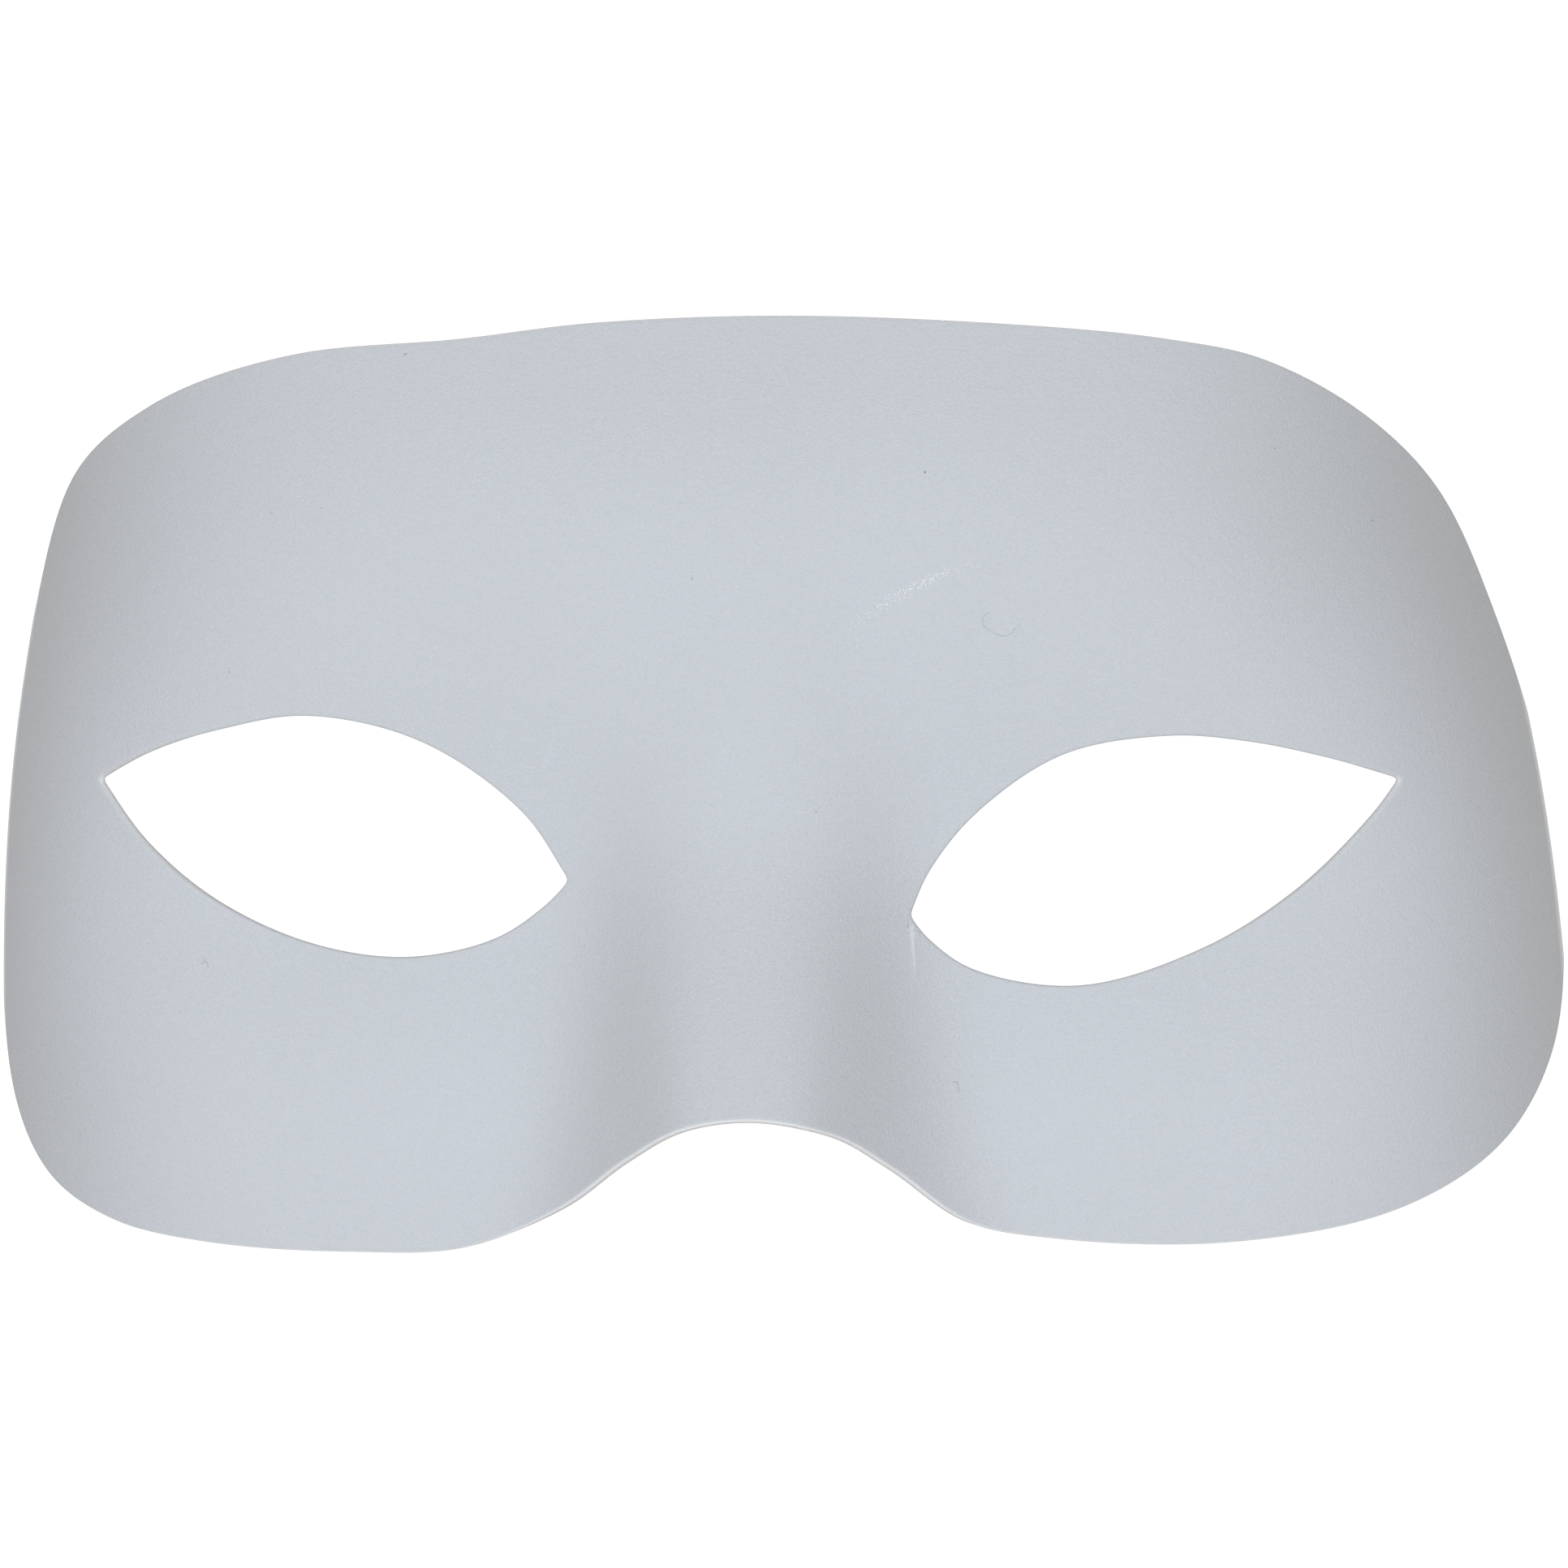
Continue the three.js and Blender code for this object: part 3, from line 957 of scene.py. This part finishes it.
def level_rims(mesh):
    """Cuts the side rims level at the plane they lie on and closes the cut."""
    bm = bmesh.new()
    bm.from_mesh(mesh)
    everything = bm.verts[:] + bm.edges[:] + bm.faces[:]
    cut = bmesh.ops.bisect_plane(
        bm,
        geom=everything,
        dist=LEVEL_REACH * MM,
        plane_co=(0, 0, 0),
        plane_no=(0, 0, -1),
        clear_outer=True,
    )
    rim = [e for e in cut["geom_cut"] if isinstance(e, bmesh.types.BMEdge) and e.is_boundary]
    bmesh.ops.holes_fill(bm, edges=rim, sides=0)
    for edge in rim:
        edge.smooth = False
    bmesh.ops.triangulate(bm, faces=bm.faces[:])
    open_edges = [e for e in bm.edges if not e.is_manifold]
    if open_edges:
        raise RuntimeError(f"the shell has {len(open_edges)} open edges")
    bm.to_mesh(mesh)
    bm.free()


class Shader:
    """A material and short ways to add its nodes."""

    def __init__(self, name):
        self.material = bpy.data.materials.new(name)
        self.material.use_nodes = True
        self.tree = self.material.node_tree
        self.place = self.node("ShaderNodeTexCoord").outputs["Object"]

    def node(self, kind, inputs=None, **settings):
        return add_node(self.tree, kind, inputs, **settings)

    def noise(self, size, detail=2.0):
        """Noise whose features are about size millimetres wide."""
        inputs = {"Scale": 1 / (size * MM), "Detail": detail, "Vector": self.place}
        return self.node("ShaderNodeTexNoise", inputs).outputs["Fac"]

    def mapped(self, source, low, high, start=0.3, end=0.7):
        """The source stretched, so that start becomes low and end becomes high."""
        inputs = {"From Min": start, "From Max": end, "To Min": low, "To Max": high}
        return self.node("ShaderNodeMapRange", {**inputs, "Value": source}).outputs["Result"]

    def cells(self, size):
        """Distance to the middles of random cells about size millimetres wide, in cell widths."""
        inputs = {"Scale": 1 / (size * MM), "Vector": self.place}
        return self.node("ShaderNodeTexVoronoi", inputs).outputs["Distance"]

    def attribute(self, name):
        return self.node("ShaderNodeAttribute", attribute_name=name).outputs["Fac"]

    def height(self):
        return self.node("ShaderNodeSeparateXYZ", {0: self.place}).outputs["Z"]

    def maths(self, operation, *values):
        node = self.node("ShaderNodeMath", dict(enumerate(values)), operation=operation)
        return node.outputs[0]

    def blend(self, part, first, second):
        """A mix of two colours, each a triple or the result of another mix."""
        inputs = {"Factor": part}
        for name, colour in (("A", first), ("B", second)):
            made = isinstance(colour, bpy.types.NodeSocket)
            inputs[name] = colour if made else (*colour, 1)
        return self.node("ShaderNodeMix", inputs, data_type="RGBA").outputs["Result"]

    def grain(self, size, depth, detail=2.0, strength=1.0, below=None):
        """Small bumps, their size and depth in millimetres, on top of the ones below."""
        height = self.noise(size, detail)
        inputs = {"Distance": depth * MM, "Strength": strength, "Height": height}
        if below is not None:
            inputs["Normal"] = below
        return self.node("ShaderNodeBump", inputs).outputs["Normal"]

    def finish(self, inputs):
        """Fills the inputs of the surface and hands out the material."""
        fill_inputs(self.tree, self.tree.nodes["Principled BSDF"], inputs)
        return self.material


def white_plastic(sheet):
    """Satin white plastic: pebbled, with painted light on its cut edges and painted glints in
    places.
    """
    shader = Shader("satin white plastic")
    base = np.array(sheet.colour)
    cloudy = shader.mapped(shader.noise(CLOUD_SIZE, 1.0), 0, 1)
    colour = shader.blend(cloudy, base * CLOUD_DARK, base * CLOUD_LIGHT)
    speckle = shader.mapped(shader.noise(SPECKLE_SIZE, 0.0), 0, SPECKLE_DEPTH)
    colour = shader.blend(speckle, colour, (0.0, 0.0, 0.0))
    colour = shader.blend(shader.attribute("whitened"), colour, base * WHITENED_SHADE)
    # Painted light: the cut edges and the lowest millimetre of the level rims are lightened
    # towards the cut edge colour
    low, high = LIT_RIM_HEIGHTS
    rim = shader.mapped(shader.height(), 1, 0, start=low * MM, end=high * MM)
    cut = shader.mapped(shader.attribute("cut"), 0, 1, *LIT_CUT_RANGE)
    colour = shader.blend(shader.maths("MAXIMUM", rim, cut), colour, tuple(sheet.lit_cut_colour))
    # Painted glints: tiny flecks of lighter colour along the brows and the top of the nose,
    # standing in for highlights of the light on the pebble
    reach = shader.maths("MULTIPLY", shader.attribute("painted_glints"), GLINT_REACH)
    spare = shader.maths("SUBTRACT", reach, shader.cells(GLINT_SPACING))
    glint_mask = shader.mapped(spare, 0, 1, start=0.0, end=GLINT_EDGE)
    pebble = shader.grain(*PEBBLE, detail=1.0)
    return shader.finish(
        {
            "Base Color": shader.blend(glint_mask, colour, PAINTED_GLINT_COLOUR),
            "Roughness": shader.mapped(shader.noise(GLOSS_PATCHES), *ROUGHNESS),
            "Specular IOR Level": SPECULAR,
            "Subsurface Weight": LIGHT_SHARE,
            "Subsurface Radius": LIGHT_DEPTH_BY_COLOUR,
            "Subsurface Scale": LIGHT_DEPTH * MM,
            "Normal": shader.grain(*FINE_PEBBLE, detail=1.0, below=pebble),
        }
    )


def dust_grey(dust):
    shader = Shader("grey dust")
    mottled = shader.mapped(shader.noise(DUST_MOTTLE), 0, 1)
    dark, light = (np.array(dust.colour) * shade for shade in DUST_SHADES)
    return shader.finish(
        {
            "Base Color": shader.blend(mottled, dark, light),
            "Roughness": DUST_ROUGHNESS,
            "Normal": shader.grain(*DUST_GRAIN, strength=DUST_GRAIN_STRENGTH),
        }
    )


class HALF_MASK_OT_shell(bpy.types.Operator):
    """Press the punched sheet over the face and cut its side rims level"""

    bl_idname = "half_mask.shell"
    bl_label = "Pressed Shell"
    bl_options = {"REGISTER", "UNDO"}

    def execute(self, context):
        scene = context.scene
        tree, keys = pressing_tree(shared_heights())
        piece = run_tree(
            flat_sheet(scene.half_mask_sheet),
            tree,
            keys,
            (scene.half_mask_form, scene.half_mask_sheet),
            {"material": white_plastic(scene.half_mask_sheet)},
            "pressed_shell",
        )
        level_rims(piece.data)
        for name in ("inset", "inward"):
            piece.data.attributes.remove(piece.data.attributes[name])
        piece.data.polygons.foreach_set("use_smooth", [True] * len(piece.data.polygons))
        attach(piece, "root")
        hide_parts("mask_shell")
        return {"FINISHED"}


class HALF_MASK_OT_dust(bpy.types.Operator):
    """Lay the specks of dust and the loose fibres on the outer face"""

    bl_idname = "half_mask.dust"
    bl_label = "Dust and Fibres"
    bl_options = {"REGISTER", "UNDO"}

    def execute(self, context):
        scene = context.scene
        tree, keys = dust_tree(shared_heights())
        places = [(x, y, 0) for x, y, _ in SPECKS]
        widths = [width for _, _, width in SPECKS]
        thicknesses = [0.0] * len(SPECKS)
        edges = []
        for thickness, fibre in FIBRES:
            line = even_points(smooth_curve(fibre, closed=False), FIBRE_STEP, closed=False)
            edges += [(len(places) + i, len(places) + i + 1) for i in range(len(line) - 1)]
            places += [(x, y, 0) for x, y in line]
            widths += [0.0] * len(line)
            thicknesses += [thickness] * len(line)
        mesh = bpy.data.meshes.new("dust pattern")
        mesh.from_pydata([Vector(p) * MM for p in places], edges, [])
        keep_attribute(mesh, "width", "FLOAT", np.array(widths) * MM)
        keep_attribute(mesh, "thickness", "FLOAT", thicknesses)
        piece = run_tree(
            mesh,
            tree,
            keys,
            (scene.half_mask_form, scene.half_mask_dust),
            {"material": dust_grey(scene.half_mask_dust), "seed": DUST_SEED},
            "dust_and_fibres",
        )
        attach(piece, "root")
        return {"FINISHED"}


class HALF_MASK_OT_studio(bpy.types.Operator):
    """Set the back-lit floor, the soft light and the camera"""

    bl_idname = "half_mask.studio"
    bl_label = "Studio"
    bl_options = {"REGISTER", "UNDO"}

    def execute(self, context):
        scene = context.scene
        studio = scene.half_mask_studio
        set_floor(scene, studio)
        set_light(scene, studio)
        set_camera(scene, studio)
        scene.view_settings.view_transform = "Standard"
        return {"FINISHED"}


def shared_heights():
    return bpy.data.node_groups.get("Face height") or height_group()


def set_floor(scene, studio):
    """A pale floor lit from behind, which the camera sees brighter than it lights the mask."""
    half = studio.floor_size / 2
    corners = [(-half, -half, 0), (half, -half, 0), (half, half, 0), (-half, half, 0)]
    mesh = bpy.data.meshes.new("floor")
    mesh.from_pydata(corners, [], [(0, 1, 2, 3)])
    floor = bpy.data.objects.new("floor", mesh)
    scene.collection.objects.link(floor)
    shader = Shader("pale floor")
    seen = shader.node("ShaderNodeLightPath").outputs["Is Camera Ray"]
    given = shader.blend(seen, tuple(studio.floor_light), tuple(studio.floor_glow))
    material = shader.finish(
        {
            "Base Color": (*FLOOR_COLOUR, 1),
            "Roughness": 1.0,
            "Specular IOR Level": 0.0,
            "Emission Strength": 1.0,
            "Emission Color": given,
        }
    )
    mesh.materials.append(material)


def set_light(scene, studio):
    """One soft light from just above, a little to the left and towards the cheeks."""
    light = bpy.data.lights.new("soft light", "SUN")
    strength = max(studio.light)
    light.energy = strength
    light.color = [part / strength for part in studio.light]
    light.angle = math.radians(LIGHT_SPREAD)
    key = bpy.data.objects.new("soft light", light)
    scene.collection.objects.link(key)
    key.rotation_euler = Vector(LIGHT_FROM).to_track_quat("Z", "Y").to_euler()
    world = bpy.data.worlds.new("pale surround")
    world.use_nodes = True
    tree = world.node_tree
    seen = add_node(tree, "ShaderNodeBackground", {"Color": (*SURROUND_SEEN, 1)})
    around = tree.nodes["Background"]
    fill_inputs(tree, around, {"Color": (*studio.surround, 1)})
    path = add_node(tree, "ShaderNodeLightPath").outputs["Is Camera Ray"]
    inputs = {"Fac": path, 1: around.outputs[0], 2: seen.outputs[0]}
    mix = add_node(tree, "ShaderNodeMixShader", inputs).outputs[0]
    fill_inputs(tree, tree.nodes["World Output"], {"Surface": mix})
    scene.world = world


def set_camera(scene, studio):
    """The camera stands above the mask, a little to its right."""
    camera = bpy.data.cameras.new("camera")
    camera.lens = LENS
    camera.sensor_width = SENSOR_WIDTH
    camera.clip_start, camera.clip_end = (reach * MM for reach in CAMERA_RANGE)
    eye = bpy.data.objects.new("camera", camera)
    scene.collection.objects.link(eye)
    aim = (Vector(CAMERA_AIM) - Vector((*MIDDLE, 0))) * MM
    turn = studio.camera_turn
    back = Vector((math.sin(turn), 0, math.cos(turn)))
    eye.location = aim + back * studio.camera_distance
    eye.rotation_euler = (0, turn, 0)
    scene.camera = eye


class HALF_MASK_PT_build(bpy.types.Panel):
    """Lists the steps that build the half mask"""

    bl_label = "Half Mask"
    bl_idname = "HALF_MASK_PT_build"
    bl_space_type = "VIEW_3D"
    bl_region_type = "UI"
    bl_category = "Half Mask"

    def draw(self, context):
        layout = self.layout
        for operator in OPERATORS:
            layout.operator(operator.bl_idname)
        for name in SETTINGS:
            box = layout.box()
            settings = getattr(context.scene, name)
            for key in settings.__annotations__:
                box.prop(settings, key)


OPERATORS = (HALF_MASK_OT_shell, HALF_MASK_OT_dust, HALF_MASK_OT_studio)
CLASSES = (*GROUPS, *OPERATORS, HALF_MASK_PT_build)
SETTINGS = {
    "half_mask_form": HalfMaskForm,
    "half_mask_sheet": HalfMaskSheet,
    "half_mask_dust": HalfMaskDust,
    "half_mask_studio": HalfMaskStudio,
}


def register():
    for cls in CLASSES:
        bpy.utils.register_class(cls)
    for name, group in SETTINGS.items():
        setattr(bpy.types.Scene, name, PointerProperty(type=group))


def unregister():
    for name in SETTINGS:
        delattr(bpy.types.Scene, name)
    for cls in reversed(CLASSES):
        bpy.utils.unregister_class(cls)


def main():
    register()
    bpy.ops.half_mask.shell()
    bpy.ops.half_mask.dust()
    bpy.ops.half_mask.studio()


if __name__ == "__main__":
    main()
